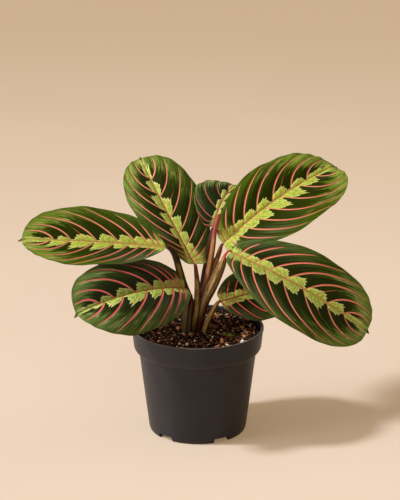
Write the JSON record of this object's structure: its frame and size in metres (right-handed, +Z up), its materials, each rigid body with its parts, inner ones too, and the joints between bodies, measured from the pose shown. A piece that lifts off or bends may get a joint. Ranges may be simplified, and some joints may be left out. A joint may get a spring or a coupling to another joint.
{
  "type": "potted prayer plant",
  "caption": "Prayer plant with broad oval leaves, red herringbone veins and a lime centre band, on bent stalks in potting mix, in a tapered round nursery pot with a deep rim.",
  "frame": {"origin": "middle of the pot's flat underside, on the surface it stands on", "axes": "+Z up along the pot's axis, -Y toward the viewer, +X to the viewer's right"},
  "size_m": [0.3168, 0.183, 0.2374],
  "materials": {
    "pot": "matte charcoal polypropylene with fine turning lines",
    "mix": "damp dark bark and coir mix with pale mineral grains",
    "stalk": "satin tan and olive, reddish brown on the shaded side",
    "pink_stalk": "satin tan below, pink-red swollen joint above",
    "sheath": "satin dark red sheath",
    "blade": "velvety satin green with salmon-red veins and a lime band, purple below"
  },
  "bodies": {
    "root": {"pot": "pot", "potting_mix": "mix", "stalk_left": "stalk", "stalk_upper_left": "stalk", "stalk_back": "stalk", "stalk_upper_right": "stalk", "stalk_lower_right": "stalk", "stalk_small_right": "stalk", "stalk_lower_left": "stalk", "bare_stalk": "pink_stalk", "sheath_tip": "sheath", "leaf_left": "blade", "leaf_upper_left": "blade", "leaf_back": "blade", "leaf_upper_right": "blade", "leaf_lower_right": "blade", "leaf_small_right": "blade", "leaf_lower_left": "blade"}
  },
  "joints": []
}
